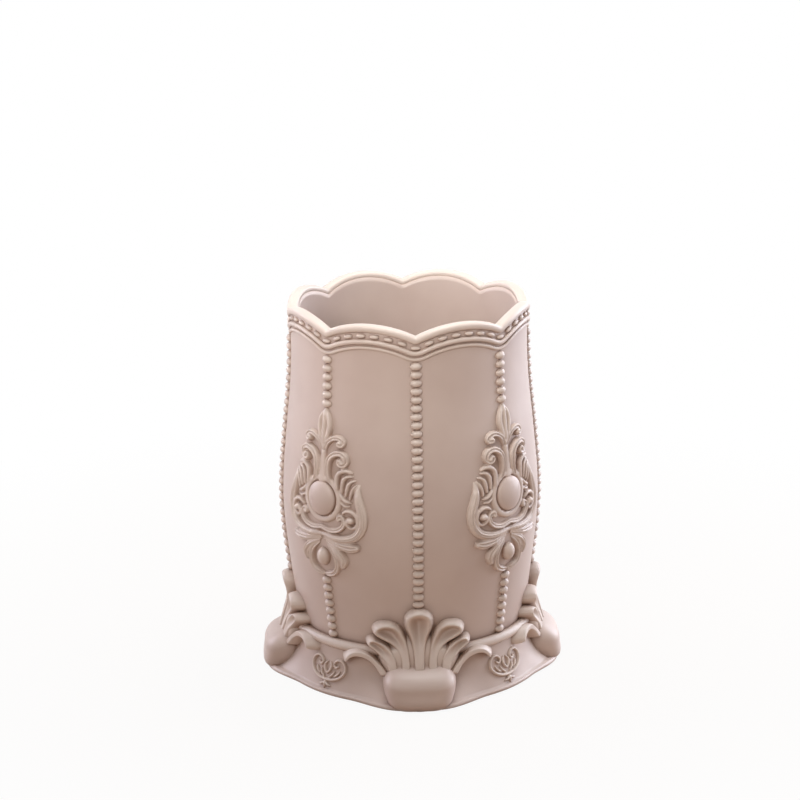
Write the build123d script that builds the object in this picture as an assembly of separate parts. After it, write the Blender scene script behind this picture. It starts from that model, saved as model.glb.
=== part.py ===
"""A footed brush pot in cast resin: a bellied vase with a scalloped rim, pearl strands down its ribs,
scroll cartouches on four of them, and a flared plinth with four shells over four block feet.

Millimetres, +Z up. The origin is the centre of the pot on the table. The front shell faces -Y,
and an azimuth is counted from there towards +X. Every ornament is drawn at the front and turned
about Z to its place.
"""

import os
from math import asin, cos, degrees, floor, radians, sin, sqrt

from build123d import *

# Vase
rim_height = 106.9  # top of the rim at a dip between two scallops
scallop_rise = 3.0  # crown of a scallop above its dips
scallop_count = 8
wall = 2.6
lip_radius = 34.0
neck_radius = 33.7
neck_drop = 10.9  # narrowest place below the rim's dips
belly_radius = 36.9
belly_height = 51.0
seat_radius = 32.8  # vase at the shoulder that stands on the plinth
seat_slope = 0.13  # outward lean of the vase just above the shoulder
spigot_step = 1.0  # shoulder left round the spigot, which is let into the plinth
spigot_length = 9.6
floor_thickness = 3.0
floor_fillet = 3.0

# Rim band, each course measured down from the rim's top edge
roll_width = 3.2
roll_lean = 0.3  # middle of the roll outside the middle of the wall
roll_height = 2.5
roll_round = 1.1  # radius on the roll's two upper edges
pearl_length = 2.7
dip_pearl_length = 1.9  # the pearl in a dip, between the rising cords
pearl_diameter = 1.4
pearls_per_scallop = 7
pearl_gap = 0.1  # pearls below the roll
upper_cord_tall = 1.5
upper_cord_proud = 0.72
upper_cord_gap = 0.2  # upper cord below the pearls
lower_cord_tall = 1.1
lower_cord_proud = 0.52
lower_cord_gap = 0.3  # lower cord below the upper one
seam = 0.03  # film of glue under the rim courses and the beads

# Pearl strands
bead_width = 3.2
bead_tall = 2.4
bead_gap = 0.05  # least space between beads, opened up to fit each strand

# Cartouches
cartouche_rise = 0.9  # centre of the cabochon above the middle between collar and rim band
scroll_relief = 1.5  # the broadest scrolls over the vase
cabochon_width = 10.0
cabochon_tall = 10.4
cabochon_relief = 2.1
frame_width = 1.5
frame_relief = 0.65
frame_gap = 0.15
drop_pearl_width = 4.0
drop_pearl_tall = 5.2
drop_pearl_height = -17.3  # below the cabochon's centre

# Plinth, collar and sprigs
plinth_height = 13.6
plinth_ledge = 1.6  # top edge of the plinth outside the vase's shoulder
plinth_spread = 3.8  # foot of the plinth outside its top edge
plinth_hollow = 0.7  # depth of the cove in the plinth's face
plinth_lip = 0.6
plinth_lip_height = 1.3
glue_gap = 0.1
collar_diameter = 2.7
collar_sink = 0.25  # how far the collar beds into the plinth's top
sprig_height = 7.3
sprig_relief = 0.9

# Shells
shell_lift = 4.5  # height over which a shell's back comes in from the collar to the vase
shell_gap = 0.1  # room behind the leaves for the glue
leaf_taper = 0.8  # width across a leaf's rim against its foot
leaf_hollow = 0.3  # depth of a leaf's dish against its height

# Feet and pads
foot_width = 19.6
foot_proud = 4.7  # front face of a foot outside the plinth's lip
foot_drop = 0.4  # top of a foot below the plinth's top
foot_crown = 5.8  # radius from the front face to the top
foot_edge = 2.4
foot_cover = 1.1  # plinth left between a foot's root and the spigot's bore
stand_off = 0.6  # underside of the pot above the table, which is the pads' thickness
pad_diameter = 9.0
pad_inset = 1.5  # rim of a pad behind the front face of its foot

# Places that follow from the sizes
neck_height = rim_height - neck_drop
pearl_drop = roll_height + pearl_gap + pearl_diameter / 2
upper_cord_drop = pearl_drop + pearl_diameter / 2 + upper_cord_gap + upper_cord_tall / 2
lower_cord_drop = upper_cord_drop + upper_cord_tall / 2 + lower_cord_gap + lower_cord_tall / 2
strand_top = rim_height - lower_cord_drop - lower_cord_tall / 2
spigot_radius = seat_radius - spigot_step
plinth_top_radius = seat_radius + plinth_ledge
plinth_foot_radius = plinth_top_radius + plinth_spread
collar_top = plinth_height + collar_diameter - collar_sink
cartouche_height = (collar_top + strand_top) / 2 + cartouche_rise
frame_half_width = cabochon_width / 2 + frame_gap + frame_width
frame_half_tall = cabochon_tall / 2 + frame_gap + frame_width
foot_reach = plinth_foot_radius + plinth_lip + foot_proud
foot_height = plinth_height - foot_drop
foot_root = spigot_radius + glue_gap + foot_cover

SIDES = ("front", "right", "back", "left")
BETWEEN = ("front_right", "back_right", "back_left", "front_left")
QUARTER = 360 / len(SIDES)
FACES = {name: k * QUARTER for k, name in enumerate(SIDES)}
CORNERS = {name: (k + 0.5) * QUARTER for k, name in enumerate(BETWEEN)}
PANEL = 360 / scallop_count
FRONT = Plane(origin=(0, 0, 0), x_dir=(1, 0, 0), z_dir=(0, -1, 0))
FAR = 70  # longer than any radius of the pot


def turned(shape, azimuth):
    """The shape made at the front, carried round to an azimuth."""
    return Rot(0, 0, azimuth) * shape


def radial_plane(azimuth):
    """The plane through the axis at an azimuth, with the radius as its x and the height as its y."""
    a = radians(azimuth)
    return Plane(origin=(0, 0, 0), x_dir=(sin(a), -cos(a), 0), z_dir=(-cos(a), -sin(a), 0))


def spun(edges):
    """A closed outline in radius and height, turned once round the axis."""
    return revolve(Plane.XZ * make_face(edges), axis=Axis.Z)


def radius_on(curve, height):
    """Radius of a profile curve at a height."""
    low, high = 0.0, 1.0
    for _ in range(40):
        middle = (low + high) / 2
        if (curve @ middle).Y < height:
            low = middle
        else:
            high = middle
    return (curve @ low).X


def vase_profile(offset=0.0):
    """The vase's face in radius and height, moved out by an offset."""
    stations = [
        (seat_radius + offset, plinth_height),
        (belly_radius + offset, belly_height),
        (neck_radius + offset, neck_height),
        (lip_radius + offset, rim_height + scallop_rise),
    ]
    return Spline(stations, tangents=[(seat_slope, 1), (0, 1), (0, 1), (0.03, 1)])


def plinth_profile(offset=0.0):
    """The plinth's coved face in radius and height, moved out by an offset."""
    top = (plinth_top_radius + offset, plinth_height)
    foot = (plinth_foot_radius + offset, stand_off)
    middle_radius = (plinth_top_radius + plinth_foot_radius) / 2 + offset
    middle = (middle_radius - plinth_hollow, (plinth_height + stand_off) / 2)
    return ThreePointArc(foot, middle, top)


VASE_FACE = vase_profile()
PLINTH_FACE = plinth_profile()


def filled(curve):
    """The solid from the axis out to a profile curve."""
    start, end = curve @ 0, curve @ 1
    return spun([curve, Polyline((end.X, end.Y), (0, end.Y), (0, start.Y), (start.X, start.Y))])


def scallop_top(tangent):
    """Height of the rim at a sideways distance from the middle of a scallop."""
    chord = lip_radius * sin(radians(PANEL / 2))
    bow = (chord**2 + scallop_rise**2) / (2 * scallop_rise)
    return rim_height + scallop_rise - bow + sqrt(bow**2 - tangent**2)


def scallop_slope(tangent):
    """Lean of the rim, in degrees, at that distance."""
    chord = lip_radius * sin(radians(PANEL / 2))
    bow = (chord**2 + scallop_rise**2) / (2 * scallop_rise)
    return degrees(asin(-tangent / bow))


def under_scallops(drop):
    """Everything below the scalloped edge, lowered by a drop."""
    reach = 1.15 * lip_radius * sin(radians(PANEL / 2))
    edge = [(x * reach, scallop_top(x * reach) - drop) for x in (-1, 0, 1)]
    outline = [ThreePointArc(*edge), Polyline(edge[2], (reach, -1), (-reach, -1), edge[0])]
    arch = extrude(FRONT * make_face(outline), amount=FAR)
    arches = [turned(arch, (k + 0.5) * PANEL) for k in range(scallop_count)]
    return arches[0].fuse(*arches[1:])


def along_the_rim(section):
    """A ring that follows the scallops, from a function that draws its section at an azimuth."""
    azimuths = [step / 6 * PANEL for step in range(-3, 4)]
    length = loft([radial_plane(azimuth) * section(azimuth) for azimuth in azimuths])
    lengths = [turned(length, (k + 0.5) * PANEL) for k in range(scallop_count)]
    return lengths[0].fuse(*lengths[1:])


def vase():
    """The pot: wall, floor and the spigot that goes into the plinth."""
    spigot_foot = plinth_height - spigot_length
    floor_top = spigot_foot + floor_thickness
    inner = vase_profile(-wall)
    inner_foot, inner_lip = inner @ 0, inner @ 1
    bore = spigot_radius - wall
    corner = (bore - floor_fillet * (1 - sqrt(0.5)), floor_top + floor_fillet * (1 - sqrt(0.5)))
    outline = [
        Polyline((0, spigot_foot), (spigot_radius, spigot_foot), (spigot_radius, plinth_height)),
        Line((spigot_radius, plinth_height), VASE_FACE @ 0),
        VASE_FACE,
        Line(VASE_FACE @ 1, inner_lip),
        inner,
        Line(inner_foot, (bore, plinth_height - wall)),
        Line((bore, plinth_height - wall), (bore, floor_top + floor_fillet)),
        ThreePointArc((bore, floor_top + floor_fillet), corner, (bore - floor_fillet, floor_top)),
        Polyline((bore - floor_fillet, floor_top), (0, floor_top), (0, spigot_foot)),
    ]
    return spun(outline) & under_scallops(roll_height + seam)


def rim_roll():
    """The rounded edge that caps the wall."""

    def section(azimuth):
        middle = lip_radius - wall / 2 + roll_lean
        inner, outer = middle - roll_width / 2, middle + roll_width / 2
        tops = [(r, scallop_top(r * sin(radians(azimuth)))) for r in (inner, outer)]
        feet = [(r, top - roll_height) for r, top in tops]
        block = make_face(Polyline(feet[0], feet[1], tops[1], tops[0], close=True))
        return fillet(block.vertices().sort_by(Axis.Y)[2:], roll_round)

    return along_the_rim(section)


def rim_cord(tall, proud, drop):
    """A plain half-round cord under the rim."""

    def section(azimuth):
        level = scallop_top(lip_radius * sin(radians(azimuth))) - drop
        back = [(radius_on(VASE_FACE, level + y) + seam, level + y) for y in (-tall / 2, tall / 2)]
        face = (radius_on(VASE_FACE, level) + seam + proud, level)
        return make_face([Line(back[1], back[0]), ThreePointArc(back[0], face, back[1])])

    return along_the_rim(section)


def on_vase(level, tall):
    """The plane for a piece of some height that sits on the front of the vase, with its x sideways."""
    low, high = [radius_on(VASE_FACE, level + y) for y in (-tall / 2, tall / 2)]
    radius = radius_on(VASE_FACE, level)
    hollow = max((low + high) / 2 - radius, 0)
    return Plane(origin=(0, -radius - hollow - seam, level), x_dir=(1, 0, 0), z_dir=(0, -tall, low - high))


def beside(x, level, tall):
    """That plane at a sideways distance from the front."""
    return turned(on_vase(level, tall), degrees(asin(x / radius_on(VASE_FACE, level))))


def half_bead(length, tall):
    """The front half of a long bead with round ends, lying on its flat back along x."""
    upper = SlotOverall(length, tall) & Pos(0, tall / 2) * Rectangle(length, tall)
    return revolve(upper, axis=Axis.X, revolution_arc=180)


def rim_pearls():
    """The course of long pearls between the roll and the upper cord."""
    course = []
    for step in range(pearls_per_scallop):
        azimuth = (step / pearls_per_scallop - 0.5) * PANEL
        tangent = lip_radius * sin(radians(azimuth))
        lean = scallop_slope(tangent) if step else 0
        pearl = half_bead(pearl_length if step else dip_pearl_length, pearl_diameter)
        seat = on_vase(scallop_top(tangent) - pearl_drop, pearl_diameter)
        course.append(turned(seat * Rot(0, 0, lean) * pearl, azimuth))
    return Compound(children=[turned(p, (k + 0.5) * PANEL) for k in range(scallop_count) for p in course])


def strand(top, foot):
    """Beads in a row down the vase from a top height to a foot height."""
    bead = half_bead(bead_width, bead_tall)
    first = top - bead_tall / 2 - bead_gap
    last = foot + bead_tall / 2 + bead_gap
    steps = floor((first - last) / (bead_tall + bead_gap))
    shares = [step / steps for step in range(steps + 1)] if steps else [0.5]
    levels = [first + (last - first) * share for share in shares]
    return Compound(children=[on_vase(level, bead_tall) * bead for level in levels])


def on_vase_radius(height):
    """Radius of the vase's face, the ground of the cartouches."""
    return radius_on(VASE_FACE, height)


def on_plinth_radius(height):
    """Radius of the plinth's face, the ground of the sprigs and the shells' curls."""
    return radius_on(PLINTH_FACE, height)


def across_path(x, z, heading, ground):
    """The plane across a path drawn on a curved ground, with its x sideways and its y out of the ground."""
    radius = ground(z)
    lean = (ground(z + 0.2) - ground(z - 0.2)) / 0.4
    depth = sqrt(radius**2 - x**2)
    out = Vector(x / radius, -depth / radius, -lean).normalized()
    run = (x * heading.X - radius * lean * heading.Y) / depth
    along = Vector(heading.X, run, heading.Y).normalized()
    return Plane(origin=Vector(x, -depth, z) + out * seam, x_dir=out.cross(along), z_dir=along)


def round_section(half, proud, sag):
    """A scroll's section: a low dome on a back that follows the ground."""
    left, right = (-half, -sag), (half, -sag)
    return make_face([ThreePointArc(left, (0, 0), right), ThreePointArc(right, (0, proud), left)])


def dished_section(half, proud, sag):
    """A shell leaf's section: steep sides and a hollow face."""
    left, right = (-half, -sag), (half, -sag)
    left_rim, right_rim = (-half * leaf_taper, proud), (half * leaf_taper, proud)
    hollow = (0, proud * (1 - leaf_hollow))
    outline = [
        ThreePointArc(left, (0, 0), right),
        Line(right, right_rim),
        ThreePointArc(right_rim, hollow, left_rim),
        Line(left_rim, left),
    ]
    return make_face(outline)


def ridge(points, ground, section):
    """A raised piece along (x, z, half width, height) points, lying on a ground at the front."""
    path = Spline([(x, z) for x, z, _, _ in points])
    sections = []
    for x, z, half, proud in points:
        heading = path % path.param_at_point(Vector(x, z))
        sag = max((half * heading.Y) ** 2 / (2 * ground(z)), 0.01)
        sections.append(across_path(x, z, heading, ground) * section(half, proud, sag))
    return loft(sections)


def mirrored(pieces):
    """The pieces of a right half and their mirror images."""
    return pieces + [mirror(piece, about=Plane.YZ) for piece in pieces]


def scroll(points, crest, ground):
    """A scroll along (x, z, half width) points."""
    raised = [(x, z, half, min(crest, 0.9 * half)) for x, z, half in points]
    return ridge(raised, ground, round_section)


# Scrolls of one half of a cartouche: (sideways, up from the cabochon, half width),
# drawn round a frame of this half width and half height, and spread with it
DRAWN_FRAME = (6.65, 6.85)
SCROLLS = [
    [(1.5, 14.6, 0.5), (2.2, 16.3, 0.75), (3.6, 17.7, 0.85), (5.8, 18.3, 0.8), (7.3, 17.1, 0.6)],
    [
        (2.85, 7.4, 0.65),
        (2.75, 9.9, 0.85),
        (3.5, 12.6, 0.95),
        (5.4, 14.2, 0.95),
        (7.5, 13.7, 0.9),
        (8.4, 12.0, 0.8),
        (7.9, 10.8, 0.65),
    ],
    [(5.6, 5.2, 0.6), (5.6, 7.2, 0.8), (6.6, 8.6, 0.85), (8.4, 8.9, 0.7), (9.6, 8.2, 0.4)],
    [(6.9, 4.0, 0.6), (8.0, 5.7, 0.75), (9.3, 6.5, 0.65), (10.4, 6.0, 0.4)],
    [(7.3, -0.9, 0.55), (8.4, -0.2, 0.6), (9.6, -0.3, 0.4)],
    [
        (12.4, 6.2, 0.3),
        (12.3, 3.4, 0.8),
        (12.8, 1.4, 0.95),
        (13.2, -0.6, 1.1),
        (13.5, -2.6, 1.25),
        (13.4, -4.6, 1.3),
        (12.2, -8.0, 1.3),
        (9.2, -9.9, 1.15),
        (7.1, -10.3, 1.05),
        (5.0, -10.4, 1.0),
        (3.4, -10.4, 0.92),
        (1.8, -10.4, 0.85),
    ],
    [
        (10.6, -7.0, 0.4),
        (11.1, -5.8, 0.45),
        (11.0, -4.5, 0.5),
        (10.1, -3.7, 0.55),
        (9.2, -4.1, 0.5),
        (8.9, -5.0, 0.4),
    ],
    [(0.95, -8.3, 0.6), (4.4, -8.4, 0.7), (6.9, -7.2, 0.75), (7.6, -5.5, 0.65), (7.2, -4.4, 0.5)],
    [(0.95, -12.2, 0.6), (4.5, -12.6, 0.85), (8.3, -12.3, 1.0), (11.6, -12.4, 0.75)],
    [(1.5, -13.6, 0.5), (4.6, -14.6, 0.8), (7.3, -16.2, 0.8)],
    [(1.8, -15.1, 0.45), (3.4, -16.6, 0.8), (4.2, -19.2, 0.9), (3.1, -21.8, 0.85), (0.8, -23.3, 0.5)],
]
# Round eyes in the curled ends: (sideways, up, radius)
EYES = [(6.0, 16.6, 0.65), (6.6, 11.4, 0.65), (10.0, -5.4, 0.6), (6.1, -5.5, 0.6)]
# Pieces on the middle line, from the foot up: (sideways, up, half width)
STEM = [(0, 7.2, 2.0), (0, 10.0, 1.6), (0, 13.0, 1.25), (0, 17.0, 0.85)]
BUD = [(0, 17.3, 0.9), (0, 18.6, 2.0), (0, 20.6, 2.7), (0, 23.2, 1.9), (0, 25.4, 0.5)]
HUB = (-13.4, -7.2)  # foot and head of the bar that the lower scrolls spring from
HUB_WIDTH = 1.2
CARTOUCHE_FOOT = -23.9


def spread(x, z):
    """A place of the drawing, moved out with the frame and up to the cartouche."""
    wide, tall = frame_half_width / DRAWN_FRAME[0], frame_half_tall / DRAWN_FRAME[1]
    return x * wide, cartouche_height + z * tall


def flourish(points):
    """A scroll of the cartouche on the vase."""
    return scroll([(*spread(x, z), half) for x, z, half in points], scroll_relief, on_vase_radius)


def frame_half():
    """The right half of the ring round a cabochon."""
    middle = frame_gap + frame_width / 2
    points = []
    for step in range(-4, 5):
        turn = radians(22.5 * step)
        side = (cabochon_width / 2 + middle) * cos(turn)
        rise = (cabochon_tall / 2 + middle) * sin(turn)
        points.append((side, cartouche_height + rise, frame_width / 2, frame_relief))
    return ridge(points, on_vase_radius, round_section)


def cartouche():
    """Scrolls, frame, stem and bud, seated on the vase."""
    right = [flourish(points) for points in SCROLLS]
    right.append(frame_half())
    for x, z, radius in EYES:
        right.append(beside(*spread(x, z), 2 * radius) * half_bead(2.2 * radius, 2 * radius))
    foot, head = [spread(0, z)[1] for z in HUB]
    middle = [flourish(points) for points in (STEM, BUD)]
    seat = on_vase((foot + head) / 2, head - foot)
    middle.append(seat * Rot(0, 0, 90) * half_bead(head - foot, HUB_WIDTH))
    return Compound(children=mirrored(right) + middle)


def cabochon(body):
    """The smooth oval boss in the frame."""
    half = cabochon_width / 2
    dome = (half**2 + cabochon_relief**2) / (2 * cabochon_relief)
    crown = radius_on(VASE_FACE, cartouche_height) + cabochon_relief
    outline = extrude(FRONT * Pos(0, cartouche_height) * Ellipse(half, cabochon_tall / 2), amount=FAR)
    return (Pos(0, dome - crown, cartouche_height) * Sphere(dome) & outline) - body


def drop_pearl():
    """The long pearl that hangs in the lowest leaves of a cartouche."""
    seat = on_vase(spread(0, drop_pearl_height)[1], drop_pearl_tall)
    return seat * Rot(0, 0, 90) * half_bead(drop_pearl_tall, drop_pearl_width)


def plinth():
    """The flared ring that the vase's spigot stands in."""
    bore = spigot_radius + glue_gap
    edge = plinth_foot_radius + plinth_lip
    edge_top = stand_off + plinth_lip_height / 2
    lip_top = stand_off + plinth_lip_height
    outline = [
        PLINTH_FACE,
        Polyline(PLINTH_FACE @ 1, (bore, plinth_height), (bore, stand_off), PLINTH_FACE @ 0),
    ]
    lip = [
        Polyline((bore, stand_off), (edge, stand_off), (edge, edge_top)),
        ThreePointArc(
            (edge, edge_top),
            (edge - plinth_lip / 3, stand_off + plinth_lip_height * 0.85),
            (plinth_foot_radius, lip_top),
        ),
        Polyline((plinth_foot_radius, lip_top), (bore, lip_top), (bore, stand_off)),
    ]
    return spun(outline).fuse(spun(lip))


def cord_reach():
    """Outermost radius of the collar cord."""
    level = plinth_height + collar_diameter / 2 - collar_sink
    return radius_on(VASE_FACE, level) + collar_diameter - collar_sink


def collar(body, base):
    """The cord that covers the joint between vase and plinth, bedded in both."""
    level = plinth_height + collar_diameter / 2 - collar_sink
    ring = Pos(0, 0, level) * Torus(cord_reach() - collar_diameter / 2, collar_diameter / 2)
    return ring - body - base


# A shell's leaves: (azimuth in degrees, up from the plinth's top, half width, height over the ground)
CENTRE_LEAF = [
    (0, -0.2, 1.5, 2.2),
    (0, 2.4, 1.8, 2.2),
    (0, 5.0, 2.65, 2.45),
    (0, 7.6, 3.55, 2.9),
    (0, 10.0, 4.1, 3.1),
    (0, 12.0, 3.95, 2.9),
    (0, 13.7, 2.9, 2.15),
    (0, 14.9, 1.2, 1.0),
]
SIDE_LEAVES = [
    [
        (6.2, 0.0, 0.9, 2.0),
        (7.2, 1.9, 1.05, 2.1),
        (9.9, 4.5, 1.8, 2.5),
        (13.0, 6.8, 2.6, 2.9),
        (17.0, 8.1, 2.6, 2.8),
        (20.3, 8.4, 1.5, 2.0),
        (22.3, 8.4, 0.5, 1.0),
    ],
    [(14.6, 0.9, 1.1, 1.9), (17.8, 2.7, 1.5, 2.2), (21.9, 4.1, 1.4, 2.0), (25.2, 4.6, 0.5, 1.0)],
]
# The curl that runs from a shell over the plinth's face, drawn in the same way
CURL = [
    (18.1, -4.7, 0.9, 0.8),
    (21.3, -2.7, 1.05, 0.95),
    (25.7, -1.5, 1.05, 0.95),
    (30.6, -1.4, 1.05, 0.95),
    (34.4, -2.2, 0.9, 0.8),
    (36.1, -3.2, 0.5, 0.45),
]


def swung(azimuth, height, ground):
    """Sideways distance and height of a place on a ground, from its azimuth."""
    return ground(height) * sin(radians(azimuth)), height


def leaf(points, ground, section):
    """A leaf or curl of a shell."""
    drawn = [(*swung(a, plinth_height + z, ground), half, proud) for a, z, half, proud in points]
    return ridge(drawn, ground, section)


def behind_shell(height):
    """Radius of a shell's back: clear of the collar cord at the bottom, on the vase higher up."""
    share = (height - plinth_height - collar_diameter / 2) / shell_lift
    share = min(max(share, 0.0), 1.0)
    share = share * share * (3 - 2 * share)
    return cord_reach() * (1 - share) + radius_on(VASE_FACE, height) * share + shell_gap


def shell():
    """Five dished leaves over the vase and two curls over the plinth."""
    side = [leaf(points, behind_shell, dished_section) for points in SIDE_LEAVES]
    side.append(leaf(CURL, on_plinth_radius, round_section))
    return Compound(children=mirrored(side) + [leaf(CENTRE_LEAF, behind_shell, dished_section)])


# One half of a sprig: (azimuth in degrees, up from the sprig's middle, half width)
SPRIG = [
    [
        (0.5, -2.9, 0.4),
        (4.1, -2.4, 0.5),
        (8.0, -0.8, 0.55),
        (8.7, 1.7, 0.5),
        (6.1, 2.9, 0.45),
        (3.8, 1.9, 0.35),
    ],
    [(0.8, -1.9, 0.3), (1.4, -0.4, 0.4), (2.6, 0.7, 0.25)],
    [(3.0, -1.6, 0.3), (4.7, -0.6, 0.4), (5.8, 0.5, 0.25)],
    [(0.7, -3.8, 0.3), (1.7, -4.6, 0.4), (3.2, -5.0, 0.25)],
]


def twig(points):
    """A scroll of the sprig on the plinth."""
    drawn = [(*swung(a, sprig_height + z, on_plinth_radius), half) for a, z, half in points]
    return scroll(drawn, sprig_relief, on_plinth_radius)


def sprig():
    """The small heart of scrolls in the middle of a plinth panel."""
    return Compound(children=mirrored([twig(points) for points in SPRIG]))


def foot():
    """A rounded block foot, still running back into the plinth."""
    face = foot_height - foot_crown
    side = [
        Polyline((foot_root, foot_height), (foot_root, stand_off), (foot_reach, stand_off)),
        Line((foot_reach, stand_off), (foot_reach, face)),
        ThreePointArc(
            (foot_reach, face),
            (foot_reach - foot_crown * (1 - sqrt(0.5)), face + foot_crown * sqrt(0.5)),
            (foot_reach - foot_crown, foot_height),
        ),
        Line((foot_reach - foot_crown, foot_height), (foot_root, foot_height)),
    ]
    block = extrude(radial_plane(0) * make_face(side), amount=foot_width / 2, both=True)
    sides = block.faces().sort_by(Axis.X)
    edges = [
        e
        for f in (sides[0], sides[-1])
        for e in f.edges()
        if e.center().Z > stand_off + 0.1 and e.center().Y < -foot_root - 0.1
    ]
    return fillet(edges, foot_edge)


def pads():
    """The four round pads, each half under a foot and half under the plinth."""
    middle = foot_reach - pad_inset - pad_diameter / 2
    pad = Pos(0, -middle, stand_off / 2) * Cylinder(pad_diameter / 2, stand_off)
    return Compound(children=[turned(pad, azimuth) for azimuth in FACES.values()])


def build():
    """Every node of the pot by name."""
    body = filled(VASE_FACE)
    base = plinth()
    base_filled = base.fuse(filled(PLINTH_FACE))
    nodes = {
        "vase": vase(),
        "rim_roll": rim_roll(),
        "rim_pearls": rim_pearls(),
        "rim_upper_cord": rim_cord(upper_cord_tall, upper_cord_proud, upper_cord_drop),
        "rim_lower_cord": rim_cord(lower_cord_tall, lower_cord_proud, lower_cord_drop),
        "plinth": base,
        "collar_cord": collar(body, base_filled),
        "foot_pads": pads(),
    }
    at_faces = {
        "strand": strand(strand_top, plinth_height + CENTRE_LEAF[-1][1]),
        "shell": shell(),
        "foot": foot() - base_filled,
    }
    at_corners = {
        "upper_strand": strand(strand_top, spread(*BUD[-1][:2])[1]),
        "lower_strand": strand(spread(0, CARTOUCHE_FOOT)[1], collar_top),
        "cartouche": cartouche(),
        "cabochon": cabochon(body),
        "drop_pearl": drop_pearl(),
        "sprig": sprig(),
    }
    for group, places in ((at_faces, FACES), (at_corners, CORNERS)):
        for name, piece in group.items():
            for place, azimuth in places.items():
                nodes[f"{name}_{place}"] = turned(piece, azimuth)
    return nodes


def main():
    os.makedirs("parts", exist_ok=True)
    for name, piece in build().items():
        export_step(Compound(children=list(piece.solids())), f"parts/{name}.step")


main()
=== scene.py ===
from math import cos, pi, radians, sin

import bpy
import numpy as np
from mathutils import Matrix, Vector


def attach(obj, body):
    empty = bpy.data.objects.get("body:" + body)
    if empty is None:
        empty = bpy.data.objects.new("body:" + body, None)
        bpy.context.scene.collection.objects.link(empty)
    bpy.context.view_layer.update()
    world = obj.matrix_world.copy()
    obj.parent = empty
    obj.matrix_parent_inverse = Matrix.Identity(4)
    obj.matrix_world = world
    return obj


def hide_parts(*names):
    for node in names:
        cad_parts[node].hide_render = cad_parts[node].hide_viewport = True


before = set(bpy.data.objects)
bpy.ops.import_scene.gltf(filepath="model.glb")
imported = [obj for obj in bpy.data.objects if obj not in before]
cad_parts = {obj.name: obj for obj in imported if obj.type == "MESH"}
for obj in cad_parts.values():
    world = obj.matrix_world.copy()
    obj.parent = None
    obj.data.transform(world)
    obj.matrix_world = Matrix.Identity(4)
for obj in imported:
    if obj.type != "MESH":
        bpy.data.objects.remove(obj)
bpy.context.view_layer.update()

# The pot stands on the origin with +Z up. Its front shell faces -Y, and azimuths are counted from
# there towards +X. All sizes below are millimetres.
MM = 0.001
SIDES = {"front": 0, "right": 90, "back": 180, "left": 270}
CORNERS = {"front_right": 45, "back_right": 135, "back_left": 225, "front_left": 315}

# Rim
RIM_DIP = 106.9  # top of the rim at a dip between two scallops
SCALLOP_RISE = 3.0
SCALLOPS = 8
RIM_STEPS = SCALLOPS * 48  # stations round the rim's courses
WALL_STEPS = SCALLOPS * 36
LIP_RADIUS = 34.0
ROLL_MIDDLE = 32.98
ROLL_WIDTH = 3.2
ROLL_HEIGHT = 2.3
WALL_DROP = 1.6  # how far the wall's top lies below the edge, inside the roll
SCALLOP_FADE = 80.0  # the scallops die out in the wall at this height
PEARL_DROP = 3.15
PEARLS_PER_SCALLOP = 7
PEARL_SIZE = (2.75, 1.35, 1.6)  # along the rim, up, and through
UPPER_CORD = (4.75, 1.5, 0.85)  # drop below the edge, height, how far it stands proud
LOWER_CORD = (6.45, 1.1, 0.6)

# Pot
WALL = 2.6
FLOOR_TOP = 7.0
FLOOR_FILLET = 3.0
SPIGOT_FOOT = 4.0
SPIGOT_RADIUS = 31.8
AXIS_HOLE = 0.8  # radius of the flat caps at the middle of the floor

# Plinth
PLINTH_TOP = 13.6
UNDERSIDE = 0.6  # the pads lift the pot off the table by this
PLINTH_LIP = 0.85
LIP_TOP = UNDERSIDE + 1.15
HEM_SWING = 4.0  # how far the hem swings out towards the feet
HEM_SWING_TALL = 10.0
COLLAR_RADIUS = 34.0
COLLAR_LEVEL = 14.8
COLLAR_SIZE = 2.9

# Beads of the strands
BEAD_SIZE = (3.45, 2.5, 2.9)  # across, up, and through
BEAD_PITCH = 2.36
BEAD_SINK = 0.2
LONG_STRAND = (99.7, 28.4)  # top and foot
UPPER_STRAND = (99.7, 84.6)
LOWER_STRAND = (35.4, 16.1)
DROP_PEARL_SIZE = (5.4, 4.3, 4.4)  # long, wide and thick
DROP_PEARL_LEVEL = 41.6

# Relief of the cartouches and sprigs
NO_RELIEF = -1.0
CABOCHON_LEVEL = 58.9
CABOCHON_HALF = (5.15, 5.3)
FRAME_HALF = (5.95, 6.05)
FRAME_WIDTH = 1.1
FRAME_CREST = 0.8
STEM_CREST = 0.85
SCROLL_CREST = 1.75
BUD_CREST = 1.25
SPRIG_CREST = 0.85
STROKE_STEP = 0.2  # spacing of the points that a stroke is drawn with
THINNEST = 0.2
STEEPEST = 1.55  # most that a stroke rises for its half width
SKIRT = -0.25  # the relief is drawn down to here, out of sight in the ground
GROOVE_DEPTH = 0.75
GROOVE_WIDTH = 0.24


def through(stations):
    """A smooth function that passes through (place, value) stations."""
    x, y = np.array(stations, float).T
    slope = np.gradient(y, x)

    def at(place):
        place = np.clip(place, x[0], x[-1])
        k = np.clip(np.searchsorted(x, place, side="right") - 1, 0, len(x) - 2)
        run = x[k + 1] - x[k]
        rise = y[k + 1] - y[k]
        start, end = run * slope[k], run * slope[k + 1]
        t = (place - x[k]) / run
        return y[k] + t * (start + t * (3 * rise - 2 * start - end + t * (start + end - 2 * rise)))

    return at


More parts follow.
